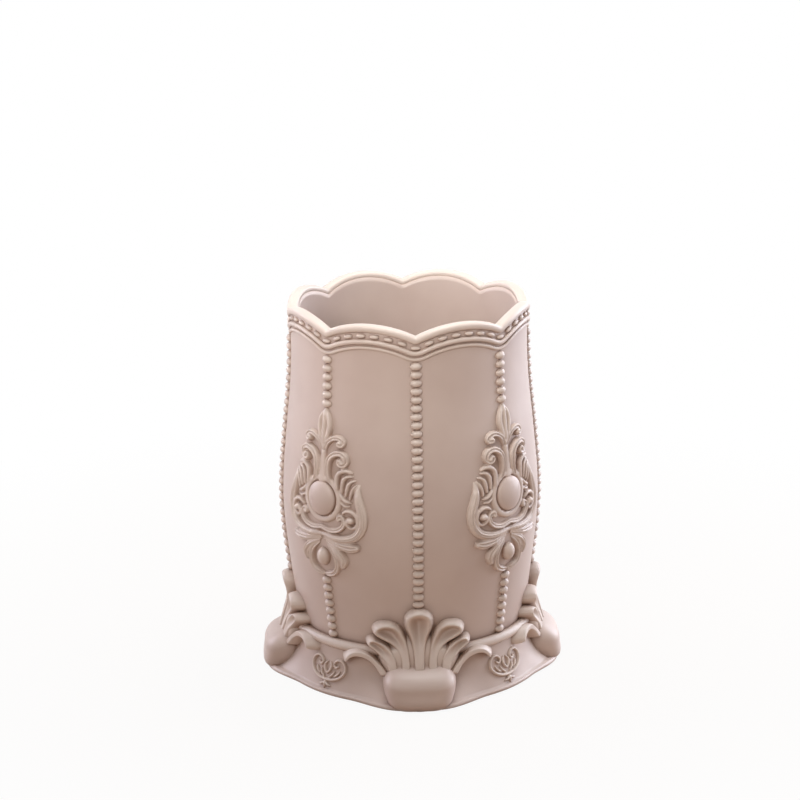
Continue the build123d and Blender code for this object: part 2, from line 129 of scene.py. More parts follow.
# Radius of the pot's face by height, and of the plinth's coved face
POT = through(
    [
        (0, 31.4),
        (8, 32.2),
        (14.5, 33.0),
        (23.2, 34.2),
        (31.9, 35.25),
        (40.7, 36.3),
        (51.0, 36.95),
        (58.1, 36.8),
        (66.8, 36.1),
        (75.5, 35.25),
        (84.2, 34.35),
        (92.9, 33.8),
        (100.2, 33.7),
        (112.0, 34.0),
    ]
)
PLINTH = through(
    [(-2, 38.9), (0.6, 38.2), (4, 36.9), (7.5, 35.7), (10.5, 34.95), (13.6, 34.4), (16, 34.1)]
)


def eased(t):
    """A step from 0 to 1 with soft ends."""
    t = np.clip(t, 0, 1)
    return t * t * (3 - 2 * t)


def along(points, spacing):
    """Evenly spaced points on a smooth curve through the given ones, extra columns carried along."""
    points = np.array(points, float)
    run = np.r_[0, np.cumsum(np.hypot(*np.diff(points[:, :2], axis=0).T))]
    places = np.linspace(0, run[-1], max(int(run[-1] / spacing), 3) + 1)
    return np.stack([through(np.c_[run, column])(places) for column in points.T], axis=1)


def turned(points, azimuth):
    """Points made at the front, carried round to an azimuth in degrees."""
    c, s = cos(radians(azimuth)), sin(radians(azimuth))
    return points @ np.array([[c, s, 0], [-s, c, 0], [0, 0, 1]])


def net(rows, columns, ring_rows=False, ring_columns=False):
    """Faces of a net of points that are numbered row after row."""
    number = np.arange(rows * columns).reshape(rows, columns)
    if ring_rows:
        number = np.vstack([number, number[:1]])
    if ring_columns:
        number = np.hstack([number, number[:, :1]])
    corners = number[:-1, :-1], number[:-1, 1:], number[1:, 1:], number[1:, :-1]
    return np.stack(corners, axis=-1).reshape(-1, 4).tolist()


def tube(rows, columns, inward=False):
    """Faces of a net whose rows are closed loops, with a cap on its first and its last row."""
    last = (rows - 1) * columns
    caps = [list(range(columns))[::-1], list(range(last, last + columns))]
    faces = net(rows, columns, False, True) + caps
    return [face[::-1] for face in faces] if inward else faces


def joined(bodies):
    """Several (points, faces) bodies as one."""
    points, faces, start = [], [], 0
    for body_points, body_faces in bodies:
        points.append(body_points)
        faces += [[start + k for k in face] for face in body_faces]
        start += len(body_points)
    return np.vstack(points), faces


def add_piece(name, body, material, nodes):
    """A smooth-shaded mesh object that rides on the pot and stands for CAD nodes."""
    points, faces = body
    mesh = bpy.data.meshes.new(name)
    mesh.from_pydata((points * MM).tolist(), [], faces)
    mesh.polygons.foreach_set("use_smooth", [True] * len(mesh.polygons))
    mesh.materials.append(material)
    mesh.update()
    piece = bpy.data.objects.new(name, mesh)
    bpy.context.scene.collection.objects.link(piece)
    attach(piece, "root")
    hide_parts(*nodes)


# Turned pieces


def azimuths(count):
    """Evenly spaced azimuths in radians, as a column."""
    return np.linspace(0, 2 * pi, count, endpoint=False)[:, None]


def round_the_axis(radius, height):
    """Points from arrays of radius and height, one row for each azimuth."""
    azimuth = azimuths(len(radius))
    points = np.stack([radius * np.sin(azimuth), -radius * np.cos(azimuth), height], axis=-1)
    return points.reshape(-1, 3)


def rim_level(azimuth, drop):
    """Height of the line that runs a given distance inside the scalloped edge."""
    half = LIP_RADIUS * pi / SCALLOPS
    bow = (half**2 + SCALLOP_RISE**2) / (2 * SCALLOP_RISE)
    share = np.mod(azimuth * SCALLOPS / (2 * pi), 1) - 0.5
    aside = np.abs(share) * 2 * half
    arch = np.sqrt(np.maximum((bow - drop) ** 2 - aside**2, 0)) + RIM_DIP + SCALLOP_RISE - bow
    dip = RIM_DIP - np.sqrt(np.maximum(drop**2 - (half - aside) ** 2, 0))
    return np.where(aside <= (bow - drop) * half / bow, arch, dip)


def ring(sections, count):
    """A closed ring; sections gives radius and height arrays from a column of azimuths."""
    radius, height = sections(azimuths(count))
    return round_the_axis(radius, height), net(*radius.shape, True, True)


def pot_body():
    """Wall, floor and spigot of the pot, up to the roll that caps the wall."""
    wall_top = RIM_DIP - WALL_DROP
    bore = SPIGOT_RADIUS - WALL
    corner = np.linspace(0, pi / 2, 7)
    profile = [(r, FLOOR_TOP) for r in (AXIS_HOLE, 8, 16, 22)]
    profile += [
        (
            bore - FLOOR_FILLET + FLOOR_FILLET * sin(a),
            FLOOR_TOP + FLOOR_FILLET - FLOOR_FILLET * cos(a),
        )
        for a in corner
    ]
    wall = np.linspace(PLINTH_TOP - 1.5, wall_top, 70)
    profile += [(POT(z) - WALL, z) for z in wall] + [(POT(z), z) for z in wall[::-1]]
    profile += [(SPIGOT_RADIUS, PLINTH_TOP - 2), (SPIGOT_RADIUS, SPIGOT_FOOT + 0.4)]
    profile += [(r, SPIGOT_FOOT) for r in (SPIGOT_RADIUS - 0.4, 24, 16, 8, AXIS_HOLE)]
    radius, height = np.array(profile).T
    lift = rim_level(azimuths(WALL_STEPS), WALL_DROP) - wall_top
    level = height + lift * eased((height - SCALLOP_FADE) / (wall_top - SCALLOP_FADE))
    width = radius + np.where(height > PLINTH_TOP - 2, POT(level) - POT(height), 0)
    rows, columns = width.shape
    first = np.arange(rows) * columns
    caps = [first.tolist(), (first + columns - 1)[::-1].tolist()]
    return round_the_axis(width, level), net(rows, columns, True) + caps


def oval(count, power=2.0):
    """Clockwise points of a unit oval, square-shouldered for powers over 2."""
    turn = -np.linspace(0, 2 * pi, count, endpoint=False)
    c, s = np.cos(turn), np.sin(turn)
    return np.sign(c) * np.abs(c) ** (2 / power), np.sign(s) * np.abs(s) ** (2 / power)


def rim_roll():
    """The rounded edge along the scallops."""
    out, up = oval(32, power=2.6)

    def sections(azimuth):
        drop = ROLL_HEIGHT / 2 * (1 - up)
        return ROLL_MIDDLE + out * ROLL_WIDTH / 2 + 0 * azimuth, rim_level(azimuth, drop)

    return ring(sections, RIM_STEPS)


def rim_cord(drop, tall, proud):
    """A half-round cord that runs along under the rim, let into the wall."""
    out, up = oval(20, power=2.2)

    def sections(azimuth):
        level = rim_level(azimuth, drop - up * tall / 2)
        return POT(level) + out * proud, level

    return ring(sections, RIM_STEPS)


def collar_cord():
    """The plain cord round the joint between pot and plinth."""
    out, up = oval(24)
    half = COLLAR_SIZE / 2

    def sections(azimuth):
        return COLLAR_RADIUS + out * half + 0 * azimuth, COLLAR_LEVEL + up * half + 0 * azimuth

    return ring(sections, 288)


def flare(azimuth):
    """How far the plinth's hem swings out: 1 under a foot, 0 between feet."""
    hem_radius, flat_half, run_out = 40, 5.0, 16
    quarter = np.mod(azimuth + pi / 4, pi / 2) - pi / 4
    return 1 - eased((np.abs(np.sin(quarter)) * hem_radius - flat_half) / run_out)


def plinth_body():
    """The coved ring under the pot, whose lower edge swings out to the feet."""
    levels = np.linspace(PLINTH_TOP, LIP_TOP + 0.05, 26)
    edge = PLINTH(UNDERSIDE) + PLINTH_LIP
    inside = SPIGOT_RADIUS + 0.1
    under = 34.5  # from here inwards the underside is round and doesn't swing out
    profile = [(POT(PLINTH_TOP) - 1.0, PLINTH_TOP)] + [(PLINTH(z), z) for z in levels]
    profile += [(edge - 0.32, LIP_TOP), (edge - 0.08, LIP_TOP - 0.18), (edge, LIP_TOP - 0.45)]
    profile += [(edge, UNDERSIDE + 0.25), (edge - 0.3, UNDERSIDE), (under, UNDERSIDE)]
    profile += [(inside, UNDERSIDE), (inside, PLINTH_TOP)]
    radius, height = np.array(profile).T

    def sections(azimuth):
        low = np.clip(1 - (height - UNDERSIDE) / HEM_SWING_TALL, 0, 1) ** 2 * (radius > under + 0.5)
        return radius + HEM_SWING * flare(azimuth) * low, height + 0 * azimuth

    return ring(sections, 576)


# Beads


def bead(size, rings=12, around=20, power=2.0):
    """A closed bead about the origin, its poles on x."""
    turn = np.linspace(0, pi, rings + 2)[1:-1]
    out = np.sin(turn) ** (2 / power)
    places = np.cos(turn)
    places = np.sign(places) * np.abs(places) ** (2 / power)
    a = np.linspace(0, 2 * pi, around, endpoint=False)
    x = np.repeat(places[:, None], around, 1)
    points = np.stack([x, out[:, None] * np.cos(a), out[:, None] * np.sin(a)], axis=-1)
    return points.reshape(-1, 3) * np.array(size) / 2, tube(rings, around, inward=True)


def seat(azimuth, level, lean=0.0):
    """Axes (along, up and out) and origin of a place on the pot, with along leaning up by an angle."""
    step = 0.2
    slope = float(POT(level + step) - POT(level - step)) / (2 * step)
    side = np.array([cos(azimuth), sin(azimuth), 0])
    out = np.array([sin(azimuth), -cos(azimuth), -slope])
    out /= np.linalg.norm(out)
    up = np.cross(out, side)
    run = side * cos(lean) + up * sin(lean)
    axes = np.array([run, np.cross(out, run), out])
    return axes, np.array([POT(level) * sin(azimuth), -POT(level) * cos(azimuth), level])


def beads_at(places, size, sink=0.0, power=2.0):
    """Beads at (azimuth, level, lean) places, their middles sunk below the ground."""
    points, faces = bead(size, power=power)
    bodies = []
    for place in places:
        axes, middle = seat(*place)
        bodies.append((points @ axes + middle - axes[2] * sink, faces))
    return joined(bodies)


def rim_pearls():
    """Long pearls along the rim, one of them in each dip."""
    scallop = 2 * pi / SCALLOPS
    turn = np.linspace(0, scallop, 400)
    level = rim_level(turn, PEARL_DROP)
    run = np.r_[0, np.cumsum(np.hypot(np.diff(turn) * LIP_RADIUS, np.diff(level)))]
    step = 0.01
    places = []
    for k in range(PEARLS_PER_SCALLOP):
        at = np.interp(run[-1] * k / PEARLS_PER_SCALLOP, run, turn)
        fall = np.diff(rim_level(np.array([at - step, at + step]), PEARL_DROP))[0]
        lean = np.arctan2(fall, 2 * step * LIP_RADIUS)
        height = float(rim_level(at, PEARL_DROP))
        places += [(at + n * scallop, height, lean) for n in range(SCALLOPS)]
    return beads_at(places, PEARL_SIZE, power=2.3)


def strand(top, foot):
    """A row of round beads down the pot at the front."""
    count = round((top - foot) / BEAD_PITCH)
    pitch = (top - foot) / count
    places = [(0.0, top - (k + 0.5) * pitch, 0.0) for k in range(count)]
    return beads_at(places, BEAD_SIZE, BEAD_SINK)


def drop_pearl():
    """The egg that hangs in the lowest leaves."""
    points, faces = bead(DROP_PEARL_SIZE, rings=18, around=28)
    axes, middle = seat(0.0, DROP_PEARL_LEVEL, pi / 2)
    return points @ axes + middle, faces


# Relief


def on_ground(u, z, rise, radius):
    """Points of a drawing, u sideways and z up, raised square to a turned ground."""
    step = 0.1
    r = radius(z)
    lean = (radius(z + step) - radius(z - step)) / (2 * step)
    depth = np.sqrt(r**2 - u**2)
    out = np.stack([u / r, -depth / r, -lean], axis=-1)
    out /= np.linalg.norm(out, axis=-1, keepdims=True)
    return np.stack([u, -depth, z], axis=-1) + out * rise[..., None]


def plate(u, z, rise, radius, sink=0.6):
    """A closed piece of relief where the rise is above the ground, its back sunk in the ground."""
    keep = rise > SKIRT
    cell = keep[:-1, :-1] | keep[1:, :-1] | keep[:-1, 1:] | keep[1:, 1:]
    # Cells that meet only at a corner get a neighbour between them
    for _ in range(3):
        a, b, c, d = cell[:-1, :-1], cell[:-1, 1:], cell[1:, 1:], cell[1:, :-1]
        falling, rising = a & c & ~b & ~d, b & d & ~a & ~c
        cell[:-1, 1:] |= falling
        cell[:-1, :-1] |= rising
    used = np.zeros(rise.shape, bool)
    for rows in (slice(None, -1), slice(1, None)):
        for columns in (slice(None, -1), slice(1, None)):
            used[rows, columns] |= cell
    number = np.cumsum(used.ravel()).reshape(used.shape) - 1
    count = int(used.sum())
    a, b, c, d = number[:-1, :-1], number[:-1, 1:], number[1:, 1:], number[1:, :-1]
    face = np.stack([a, b, c, d], axis=-1)[cell]
    faces = [face, face[:, ::-1] + count]
    around = np.pad(cell, 1)
    sides = [
        (a, b, around[:-2, 1:-1]),
        (b, c, around[1:-1, 2:]),
        (c, d, around[2:, 1:-1]),
        (d, a, around[1:-1, :-2]),
    ]
    for first, second, beyond in sides:
        open_side = cell & ~beyond
        faces.append(np.stack([second, first, first + count, second + count], axis=-1)[open_side])
    deepest = -0.8 * sink  # keeps the front clear of the back
    front = on_ground(u[used], z[used], np.maximum(rise[used], deepest), radius)
    back = on_ground(u[used], z[used], np.full(count, -sink), radius)
    return np.vstack([front, back]), np.vstack(faces).tolist()


def window(u, z, x, y, reach):
    """Rows and columns of a drawing within reach of a place."""
    rows = slice(*np.searchsorted(z[:, 0], (y - reach, y + reach)))
    return rows, slice(*np.searchsorted(u[0], (x - reach, x + reach)))


def raise_strokes(u, z, rise, strokes, crest):
    """Rounded ridges along strokes of (u, z, half width) points, each no higher than the crest."""
    for stroke in strokes:
        for x, y, half in along(stroke, STROKE_STEP):
            half = max(half, THINNEST)
            near = window(u, z, x, y, half + 0.5)
            away = np.hypot(u[near] - x, z[near] - y) / half
            ridge = min(crest, STEEPEST * half) * (1 - away**3)
            rise[near] = np.maximum(rise[near], ridge)


def cut_grooves(u, z, rise, lines):
    """Fine grooves along lines of (u, z) points."""
    cut = np.zeros(rise.shape)
    for x, y in np.vstack(lines):
        near = window(u, z, x, y, 3 * GROOVE_WIDTH)
        away = np.hypot(u[near] - x, z[near] - y) / GROOVE_WIDTH
        cut[near] = np.maximum(cut[near], np.exp(-(away**2)))
    return rise - GROOVE_DEPTH * cut


def softened(rise):
    """The relief with its sharpest steps rubbed down, as a mould leaves them."""
    for axis in (0, 1):
        rise = (np.roll(rise, 1, axis) + 2 * rise + np.roll(rise, -1, axis)) / 4
    return rise


def drawing_net(wide, low, high, spacing):
    """Sideways and upward places of a drawing that reaches as far to the left as to the right."""
    count = int(wide / spacing)
    return np.meshgrid(np.linspace(-wide, wide, 2 * count + 1), np.arange(low, high, spacing))


def mirrored(strokes):
    """Strokes of a right half and their mirror images."""
    return strokes + [[(-p[0], *p[1:]) for p in stroke] for stroke in strokes]


# A cartouche's strokes: (sideways, height above the table, half width), right half
BUD = [
    [(0, 74.9, 0.7), (0, 78.3, 1.0), (0, 81.8, 0.95), (0, 84.6, 0.4)],
    [(0.5, 74.7, 0.5), (1.4, 77.3, 0.85), (1.75, 79.9, 0.95), (1.25, 82.3, 0.75), (0.35, 84.4, 0.3)],
]
STEM = [[(0, 64.6, 1.9), (0, 68.0, 1.55), (0, 71.0, 1.15), (0, 73.5, 0.9), (0, 76.0, 0.7)]]
UPPER_CURL = [
    (0.4, 72.8, 0.6),
    (1.5, 75.1, 0.85),
    (3.6, 76.6, 0.95),
    (5.6, 76.7, 0.95),
    (6.7, 75.8, 0.85),
    (6.2, 75.0, 1.0),
    (5.5, 75.2, 1.15),
]
LARGE_CURL = [
    (3.0, 63.8, 0.7),
    (2.2, 65.8, 0.95),
    (2.0, 68.2, 1.1),
    (2.5, 70.6, 1.15),
    (4.0, 72.1, 1.15),
    (6.0, 72.6, 1.15),
    (7.6, 71.7, 1.1),
    (7.8, 70.2, 1.0),
    (6.8, 69.5, 1.15),
    (6.0, 69.9, 1.35),
    (6.1, 70.3, 1.4),
]
FEATHERS = [
    [
        (5.4, 62.6, 0.7),
        (5.2, 64.6, 0.85),
        (5.4, 66.4, 0.9),
        (6.5, 67.6, 0.9),
        (8.1, 68.0, 0.8),
        (9.6, 67.5, 0.45),
    ],
    [(6.9, 61.9, 0.6), (7.0, 63.8, 0.75), (7.4, 65.5, 0.8), (8.4, 66.4, 0.7), (9.8, 66.5, 0.4)],
    [(8.2, 61.0, 0.55), (8.5, 62.7, 0.7), (9.0, 64.4, 0.7), (9.9, 65.2, 0.55), (10.9, 65.4, 0.3)],
    [(9.5, 60.2, 0.5), (9.8, 61.8, 0.6), (10.4, 63.4, 0.55), (11.1, 64.4, 0.3)],
    [(6.7, 61.0, 0.5), (7.4, 60.0, 0.65), (8.5, 59.3, 0.65), (9.8, 59.0, 0.35)],
    [(7.0, 58.6, 0.5), (8.0, 58.0, 0.6), (9.4, 58.0, 0.4)],
]
OUTER_LEAF = [
    (12.2, 65.3, 0.3),
    (11.6, 62.4, 0.9),
    (12.0, 59.7, 1.3),
    (12.8, 57.0, 1.45),
    (13.2, 54.3, 1.45),
    (12.7, 51.7, 1.45),
    (11.1, 49.5, 1.45),
    (8.4, 48.3, 1.4),
    (5.0, 48.0, 1.2),
    (1.8, 48.3, 0.95),
    (0.0, 48.4, 0.8),
]
SPIRAL = [
    (7.3, 55.7, 0.5),
    (8.5, 56.5, 0.7),
    (10.1, 56.5, 0.75),
    (11.4, 55.6, 0.75),
    (11.9, 54.0, 0.75),
    (11.3, 52.4, 0.7),
    (10.0, 51.8, 0.65),
    (8.9, 52.5, 0.7),
    (8.9, 53.5, 0.8),
    (9.6, 54.2, 1.0),
    (10.0, 54.0, 1.15),
]
LOWER_CURL = [
    (0.0, 50.6, 0.75),
    (3.5, 50.1, 0.85),
    (6.3, 50.9, 0.9),
    (7.7, 52.6, 0.9),
    (7.4, 54.2, 0.8),
    (6.3, 54.5, 0.85),
    (6.1, 53.9, 0.95),
]
SIDE_FROND = [
    (1.0, 47.0, 0.6),
    (4.0, 46.4, 0.9),
    (7.2, 45.9, 1.35),
    (9.7, 45.8, 1.6),
    (11.3, 46.1, 1.1),
]
LOW_FROND = [
    (1.6, 46.2, 0.6),
    (4.2, 44.9, 1.0),
    (6.1, 43.2, 1.45),
    (7.0, 41.5, 1.5),
    (6.7, 40.0, 1.0),
]
DROP_LEAF = [
    (1.6, 45.6, 0.5),
    (3.5, 43.9, 0.8),
    (4.7, 41.8, 0.95),
    (4.9, 39.6, 1.0),
    (4.0, 37.7, 1.0),
    (2.2, 36.7, 0.95),
    (0.6, 36.3, 0.7),
]
SCROLLS = [UPPER_CURL, LARGE_CURL, *FEATHERS, OUTER_LEAF, SPIRAL, LOWER_CURL]
SCROLLS += [SIDE_FROND, LOW_FROND, DROP_LEAF]
# Grooves along a scroll, each at a share of its half width to the left of its middle
GROOVES = [
    (UPPER_CURL, (0.0,)),
    (LARGE_CURL, (0.1,)),
    (OUTER_LEAF, (-0.42, 0.05, 0.5)),
    (LOWER_CURL, (0.1,)),
    (SIDE_FROND, (-0.4, 0.2)),
    (LOW_FROND, (-0.35, 0.3)),
    (DROP_LEAF, (0.0,)),
]

# A sprig's strokes, right half, and its tail on the middle line
SPRIG = [
    [
        (0, 4.2, 0.5),
        (2.6, 4.5, 0.52),
        (4.9, 5.6, 0.52),
        (6.1, 7.4, 0.52),
        (5.7, 9.2, 0.5),
        (4.2, 10.2, 0.48),
        (2.7, 9.8, 0.46),
        (2.1, 8.7, 0.44),
        (2.8, 7.9, 0.42),
        (3.6, 8.4, 0.4),
    ],
    [(0, 6.0, 0.4), (0.9, 6.9, 0.5), (1.2, 8.2, 0.45), (0.5, 9.2, 0.3)],
    [(1.0, 5.0, 0.35), (2.0, 5.8, 0.45), (2.5, 6.8, 0.3)],
    [(2.8, 5.5, 0.35), (3.8, 6.2, 0.45), (4.3, 7.1, 0.3)],
    [(0.1, 3.6, 0.35), (1.1, 2.9, 0.45), (2.1, 2.8, 0.25)],
]
SPRIG_TAIL = [[(0, 4.0, 0.4), (0, 2.9, 0.5), (0, 1.9, 0.25)]]


def beside(stroke, share):
    """The line that runs along a stroke at a share of its half width to the left of its middle."""
    points = along(stroke, STROKE_STEP)
    heading = np.gradient(points[:, :2], axis=0)
    left = np.stack([-heading[:, 1], heading[:, 0]], axis=1) / np.hypot(*heading.T)[:, None]
    return points[:, :2] + left * (share * points[:, 2])[:, None]


def cartouche():
    """Scrolls, leaves and frame as one relief on the pot at the front."""
    u, z = drawing_net(wide=15.6, low=34.6, high=86.4, spacing=0.17)
    rise = np.full(u.shape, NO_RELIEF)
    frame_ring = [
        (FRAME_HALF[0] * cos(a), CABOCHON_LEVEL + FRAME_HALF[1] * sin(a), FRAME_WIDTH)
        for a in np.linspace(0, 2 * pi, 60)
    ]
    raise_strokes(u, z, rise, [frame_ring], FRAME_CREST)
    raise_strokes(u, z, rise, STEM, STEM_CREST)
    raise_strokes(u, z, rise, mirrored(SCROLLS), SCROLL_CREST)
    raise_strokes(u, z, rise, mirrored(BUD), BUD_CREST)
    grooves = [beside(stroke, share) for stroke, shares in GROOVES for share in shares]
    grooves += [line * np.array([-1, 1]) for line in grooves]
    return plate(u, z, softened(cut_grooves(u, z, rise, grooves)), POT)


def sprig():
    """The small heart of scrolls on the plinth at the front."""
    u, z = drawing_net(wide=7.0, low=1.3, high=11.0, spacing=0.12)
    rise = np.full(u.shape, NO_RELIEF)
    raise_strokes(u, z, rise, mirrored(SPRIG) + SPRIG_TAIL, SPRIG_CREST)
    return plate(u, z, softened(rise), PLINTH)


def cabochon():
    """The smooth oval boss in the frame: a short upright wall and a dome."""
    around, wall_rings, dome_rings = 64, 5, 17
    sunk, wall_top, dome_rise = -0.6, 0.55, 1.6
    a = np.linspace(0, 2 * pi, around, endpoint=False)
    dome = np.linspace(0.9, 0.04, dome_rings)
    reach = np.r_[np.linspace(1.0, 0.93, wall_rings), dome][:, None]
    dome_level = wall_top + dome_rise * np.sqrt(1 - (dome / 0.95) ** 2) ** 1.15
    rise = np.r_[np.linspace(sunk, wall_top, wall_rings), dome_level]
    u = reach * np.cos(a) * CABOCHON_HALF[0]
    z = CABOCHON_LEVEL + reach * np.sin(a) * CABOCHON_HALF[1]
    points = on_ground(u, z, np.repeat(rise[:, None], around, 1), POT)
    return points.reshape(-1, 3), tube(wall_rings + dome_rings, around)


# Shells: the two edges of each leaf from its foot to its tip as (sideways, height above the table)
CENTRE_EDGE = [
    (1.95, 11.0),
    (2.0, 14.0),
    (2.3, 17.0),
    (3.0, 20.0),
    (3.9, 22.4),
    (4.25, 24.4),
    (3.95, 26.2),
    (2.9, 27.6),
    (1.5, 28.35),
    (0.0, 28.6),
]
SIDE_EDGES = (
    [
        (2.1, 11.0),
        (2.2, 14.0),
        (2.7, 17.4),
        (3.7, 20.4),
        (5.0, 22.8),
        (6.8, 24.1),
        (9.0, 24.5),
        (11.2, 24.1),
        (12.6, 23.1),
        (13.1, 21.9),
    ],
    [
        (5.5, 11.0),
        (5.7, 14.0),
        (6.8, 16.2),
        (8.7, 17.8),
        (10.8, 19.0),
        (12.2, 20.0),
        (12.9, 20.9),
        (13.1, 21.9),
    ],
)
LOW_EDGES = (
    [
        (5.7, 10.9),
        (6.1, 13.8),
        (7.4, 16.3),
        (9.2, 18.1),
        (11.1, 19.2),
        (12.9, 19.6),
        (14.2, 19.1),
        (14.8, 18.1),
    ],
    [(9.0, 10.3), (9.7, 12.2), (11.1, 14.0), (12.9, 15.7), (14.1, 16.6), (14.7, 17.4), (14.8, 18.1)],
)
CURL_EDGES = (
    [(8.4, 9.6), (11.4, 12.9), (14.3, 15.0), (17.4, 15.4), (19.9, 14.3), (21.2, 12.2), (20.9, 11.0)],
    [(11.2, 9.0), (12.9, 11.3), (15.6, 12.9), (18.2, 12.9), (19.4, 12.1), (20.0, 11.3), (20.9, 11.0)],
)
# Edge of the plain ground that the leaves' feet grow from
FAN_EDGE = [
    (10.2, 10.0),
    (11.2, 12.0),
    (11.6, 13.8),
    (10.4, 15.8),
    (7.4, 18.0),
    (3.8, 19.9),
    (0.0, 20.7),
]

# Radius of each leaf's crest by share of its length, and of the ground behind the leaves by height
CENTRE_CREST = [(0, 39.2), (0.25, 37.8), (0.42, 36.9), (0.6, 37.0), (0.78, 37.9), (1.0, 38.1)]
SIDE_CREST = [(0, 38.9), (0.25, 37.5), (0.45, 36.8), (0.7, 37.2), (0.9, 37.9), (1.0, 37.8)]
LOW_CREST = [(0, 38.7), (0.3, 37.8), (0.6, 37.3), (0.85, 37.4), (1.0, 37.3)]
CURL_CREST = [(0, 38.4), (0.3, 37.4), (0.6, 37.2), (0.85, 37.6), (1.0, 37.8)]
FAN_CREST = [(0, 38.1), (0.3, 37.2), (0.6, 36.0), (1.0, 34.8)]
SHELL_GROUND = through([(8, 34.6), (13, 34.0), (16, 33.4), (20, 33.6), (24, 34.1), (30, 34.9)])


def resampled(edge, shares):
    """Points at shares of the way along a smooth edge."""
    points = along(edge, 0.1)
    run = np.r_[0, np.cumsum(np.hypot(*np.diff(points, axis=0).T))]
    return np.stack([np.interp(shares * run[-1], run, column) for column in points.T], axis=1)


def inset_from(outline, place):
    """Distance of places from the nearest stretch of an outline."""
    start, run = outline[:-1], np.diff(outline, axis=0)
    step = place[..., None, :] - start
    share = (step * run).sum(axis=-1) / np.maximum((run**2).sum(axis=-1), 1e-9)
    nearest = np.clip(share, 0, 1)[..., None] * run
    return np.linalg.norm(step - nearest, axis=-1).min(axis=-1)


def leaf(edges, crest, hollow, rim, ground=SHELL_GROUND):
    """A closed leaf between two edges, with a rounded rim and a face dished by the hollow."""
    rows, columns = 56, 33
    rim_share, dish_start, dish_foot, dish_run, back_sink = 0.5, 0.6, 0.1, 0.6, 0.8
    shares = 1 - (1 - np.linspace(0, 1, rows)) ** 1.9  # rows lie closer together towards the tip
    shares[-1] = 0.9998  # the last row keeps a little width, so that no face is empty
    left, right = (resampled(edge, shares) for edge in edges)
    half = np.hypot(*(right - left).T)[:, None] / 2
    across = np.sin(np.linspace(-pi / 2, pi / 2, columns))[None]
    place = (left + right)[:, None] / 2 + across[..., None] * ((right - left) / 2)[:, None]
    there, back_again = (resampled(edge, np.linspace(0, 1, 160)) for edge in edges)
    inset = inset_from(np.vstack([there, back_again[::-1]]), place)
    inset[:, [0, -1]] = 0
    broad = np.maximum.accumulate(half)
    edge = np.minimum(rim, rim_share * broad)
    rounding = np.sqrt(1 - np.clip(1 - inset / edge, 0, 1) ** 2)
    dish = eased((inset - dish_start * edge) / (broad - dish_start * edge))
    dish = dish * eased((shares[:, None] - dish_foot) / dish_run)
    u, z = place[..., 0], place[..., 1]
    bottom = ground(z)
    r = bottom + (through(crest)(shares)[:, None] - bottom) * rounding
    r = r - hollow * broad / broad.max() * dish
    face = np.stack([u, -np.sqrt(r**2 - u**2), z], axis=-1)
    back = np.stack([u, -np.sqrt((bottom - back_sink) ** 2 - u**2), z], axis=-1)[:, [-1, 0]]
    points = np.concatenate([face, back], axis=1)
    return points.reshape(-1, 3), tube(rows, columns + 2)


def mirror_body(body):
    """The mirror image of a body across the middle plane."""
    points, faces = body
    return points * np.array([-1, 1, 1]), [face[::-1] for face in faces]


def plinth_ground(z):
    """Radius of the ground that the curls lie on, a little inside the plinth's face."""
    return PLINTH(z) - 0.4


def shell():
    """Five spoon-shaped leaves over the collar and two curls on the plinth, at the front."""
    across = [
        leaf(([(-u, z) for u, z in edge], edge), crest, hollow, rim)
        for edge, crest, hollow, rim in (
            (FAN_EDGE, FAN_CREST, 0.0, 2.4),
            (CENTRE_EDGE, CENTRE_CREST, 2.8, 1.5),
        )
    ]
    right_half = [
        leaf(SIDE_EDGES, SIDE_CREST, hollow=2.2, rim=1.4),
        leaf(LOW_EDGES, LOW_CREST, hollow=1.3, rim=1.0),
        leaf(CURL_EDGES, CURL_CREST, hollow=0.0, rim=1.6, ground=plinth_ground),
    ]
    return joined(across + [body for half in right_half for body in (half, mirror_body(half))])


# Feet

# Half width of a foot by height, and its reach from the pot's axis
FOOT_WIDTH = through(
    [
        (0.6, 7.9),
        (1.1, 8.6),
        (3.4, 9.7),
        (6.5, 10.3),
        (8.6, 10.1),
        (10.2, 9.2),
        (11.4, 7.8),
        (12.2, 6.2),
        (12.7, 4.2),
    ]
)
FOOT_REACH = through(
    [
        (0.6, 43.2),
        (1.0, 43.45),
        (5.5, 43.5),
        (7.6, 43.2),
        (9.1, 42.3),
        (10.4, 40.8),
        (11.4, 39.0),
        (12.1, 37.2),
        (12.5, 35.6),
        (12.7, 34.4),
    ]
)
FOOT_ROOT = 33.4
FOOT_SQUARENESS = 3.8


def foot():
    """A soft-cornered block foot at the front, its back let into the plinth."""
    bands = (0.6, 2.4, 8), (2.8, 8.8, 12), (9.1, 12.7, 20)  # from, to and count, closest at the edges
    levels = np.concatenate([np.linspace(*band) for band in bands])[:, None]
    turn = np.linspace(0, pi, 49)[None]
    sideways = np.sign(np.cos(turn)) * np.abs(np.cos(turn)) ** (2 / FOOT_SQUARENESS)
    forward = np.abs(np.sin(turn)) ** (2 / FOOT_SQUARENESS)
    x = FOOT_WIDTH(levels) * sideways
    y = -FOOT_ROOT - (FOOT_REACH(levels) - FOOT_ROOT) * forward
    points = np.stack([x, y, levels + 0 * x], axis=-1)
    return points.reshape(-1, 3), tube(*x.shape, inward=True)


# Materials


def linear(hex_colour):
    """An sRGB hex colour as linear RGBA."""
    values = [int(hex_colour[k : k + 2], 16) / 255 for k in (1, 3, 5)]
    return [v / 12.92 if v <= 0.04045 else ((v + 0.055) / 1.055) ** 2.4 for v in values] + [1.0]


